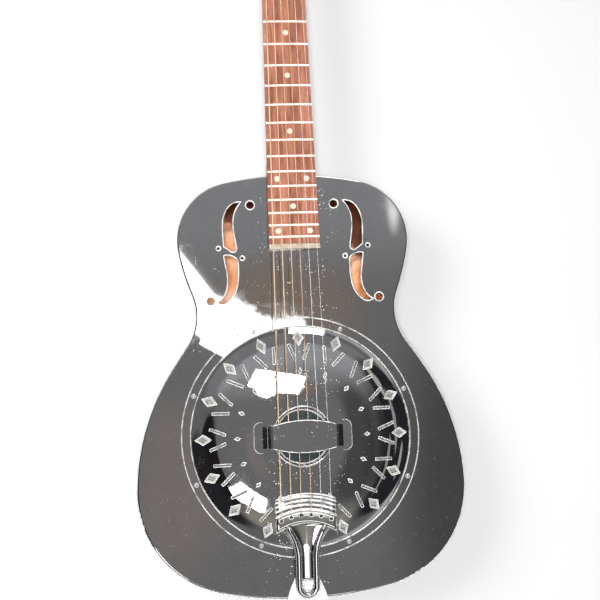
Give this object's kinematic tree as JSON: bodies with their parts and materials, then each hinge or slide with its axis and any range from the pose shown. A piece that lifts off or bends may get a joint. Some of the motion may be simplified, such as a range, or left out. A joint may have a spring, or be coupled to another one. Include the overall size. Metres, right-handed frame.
{
  "type": "resonator guitar",
  "caption": "Metal-bodied resonator guitar with a domed, pierced cover over a spun cone, f-holes, a hand rest, a hinged tailpiece and geared tuners.",
  "frame": {"origin": "on the resting face of the back, under the centre of the cone", "axes": "+Z out of the top, +Y towards the headstock, +X to the treble side"},
  "size_m": [0.3568, 0.9976, 0.116],
  "materials": {
    "chrome_shell": "mirror polished plating",
    "well_sheet": "dull copper-coloured inside of the plating",
    "spun_aluminium": "spun",
    "dark_maple": "stained black",
    "maple": "bare maple",
    "screws": "plated screws",
    "polished_fittings": "polished",
    "mahogany": "satin lacquer",
    "pale_timber": "bare timber",
    "rosewood": "oiled, reddish brown",
    "fret_wire": "polished nickel silver",
    "pearl": "pearly",
    "bone": "polished bone",
    "dark_veneer": "gloss lacquer",
    "rod_steel": "bare",
    "black_plastic": "gloss",
    "tuner_metal": "nickel plated",
    "gear_brass": "cut brass",
    "tuner_knob": "cream",
    "bronze_winding": "bronze wound",
    "plain_steel": "bright wire"
  },
  "bodies": {
    "guitar": {"top_plate": "chrome_shell", "back_plate": "chrome_shell", "bass_side": "chrome_shell", "treble_side": "chrome_shell", "cover_plate": "chrome_shell", "hand_rest": "chrome_shell", "tailpiece": "chrome_shell", "tailpiece_hanger": "chrome_shell", "sound_well": "well_sheet", "resonator_cone": "spun_aluminium", "bridge_biscuit": "dark_maple", "bridge_saddle": "maple", "biscuit_screw": "screws", "cover_plate_screws": "screws", "tailpiece_hinge_pin": "screws", "end_pin": "polished_fittings", "neck": "mahogany", "neck_stick": "pale_timber", "fingerboard": "rosewood", "frets": "fret_wire", "fret_markers": "pearl", "side_markers": "pearl", "nut": "bone", "headstock_veneer": "dark_veneer", "truss_rod": "rod_steel", "truss_rod_cover": "black_plastic", "truss_rod_cover_screws": "screws", "tuner_plates": "tuner_metal", "tuner_plate_screws": "screws", "tuner_bushings": "tuner_metal", "string_1": "plain_steel", "string_2": "plain_steel", "string_3": "bronze_winding", "string_4": "bronze_winding", "string_5": "bronze_winding", "string_6": "bronze_winding"},
    "button_1": {"tuner_button_1": "tuner_knob", "tuner_worm_1": "tuner_metal"},
    "post_1": {"tuner_post_1": "tuner_metal", "tuner_gear_1": "gear_brass"},
    "button_2": {"tuner_button_2": "tuner_knob", "tuner_worm_2": "tuner_metal"},
    "post_2": {"tuner_post_2": "tuner_metal", "tuner_gear_2": "gear_brass"},
    "button_3": {"tuner_button_3": "tuner_knob", "tuner_worm_3": "tuner_metal"},
    "post_3": {"tuner_post_3": "tuner_metal", "tuner_gear_3": "gear_brass"},
    "button_4": {"tuner_button_4": "tuner_knob", "tuner_worm_4": "tuner_metal"},
    "post_4": {"tuner_post_4": "tuner_metal", "tuner_gear_4": "gear_brass"},
    "button_5": {"tuner_button_5": "tuner_knob", "tuner_worm_5": "tuner_metal"},
    "post_5": {"tuner_post_5": "tuner_metal", "tuner_gear_5": "gear_brass"},
    "button_6": {"tuner_button_6": "tuner_knob", "tuner_worm_6": "tuner_metal"},
    "post_6": {"tuner_post_6": "tuner_metal", "tuner_gear_6": "gear_brass"}
  },
  "joints": [
    {"name": "button_1_turn", "type": "hinge", "parent": "guitar", "child": "button_1", "pos_m": [0.022, 0.69303, 0.04163], "axis": [1, 0, 0], "continuous": true},
    {"name": "post_1_turn", "type": "hinge", "parent": "guitar", "child": "post_1", "pos_m": [0.022, 0.69107, 0.06236], "axis": [0, 0.2608, 0.9654], "continuous": true},
    {"name": "button_2_turn", "type": "hinge", "parent": "guitar", "child": "button_2", "pos_m": [0.022, 0.73068, 0.03146], "axis": [1, 0, 0], "continuous": true},
    {"name": "post_2_turn", "type": "hinge", "parent": "guitar", "child": "post_2", "pos_m": [0.022, 0.72872, 0.05219], "axis": [0, 0.2608, 0.9654], "continuous": true},
    {"name": "button_3_turn", "type": "hinge", "parent": "guitar", "child": "button_3", "pos_m": [0.022, 0.76833, 0.02129], "axis": [1, 0, 0], "continuous": true},
    {"name": "post_3_turn", "type": "hinge", "parent": "guitar", "child": "post_3", "pos_m": [0.022, 0.76637, 0.04202], "axis": [0, 0.2608, 0.9654], "continuous": true},
    {"name": "button_4_turn", "type": "hinge", "parent": "guitar", "child": "button_4", "pos_m": [-0.022, 0.76833, 0.02129], "axis": [-1, 0, 0], "continuous": true},
    {"name": "post_4_turn", "type": "hinge", "parent": "guitar", "child": "post_4", "pos_m": [-0.022, 0.76637, 0.04202], "axis": [0, 0.2608, 0.9654], "continuous": true},
    {"name": "button_5_turn", "type": "hinge", "parent": "guitar", "child": "button_5", "pos_m": [-0.022, 0.73068, 0.03146], "axis": [-1, 0, 0], "continuous": true},
    {"name": "post_5_turn", "type": "hinge", "parent": "guitar", "child": "post_5", "pos_m": [-0.022, 0.72872, 0.05219], "axis": [0, 0.2608, 0.9654], "continuous": true},
    {"name": "button_6_turn", "type": "hinge", "parent": "guitar", "child": "button_6", "pos_m": [-0.022, 0.69303, 0.04163], "axis": [-1, 0, 0], "continuous": true},
    {"name": "post_6_turn", "type": "hinge", "parent": "guitar", "child": "post_6", "pos_m": [-0.022, 0.69107, 0.06236], "axis": [0, 0.2608, 0.9654], "continuous": true}
  ],
  "couplings": [
    {"joint": "post_1_turn", "follows": "button_1_turn", "ratio": 0.071429},
    {"joint": "post_2_turn", "follows": "button_2_turn", "ratio": 0.071429},
    {"joint": "post_3_turn", "follows": "button_3_turn", "ratio": 0.071429},
    {"joint": "post_4_turn", "follows": "button_4_turn", "ratio": 0.071429},
    {"joint": "post_5_turn", "follows": "button_5_turn", "ratio": 0.071429},
    {"joint": "post_6_turn", "follows": "button_6_turn", "ratio": 0.071429}
  ]
}
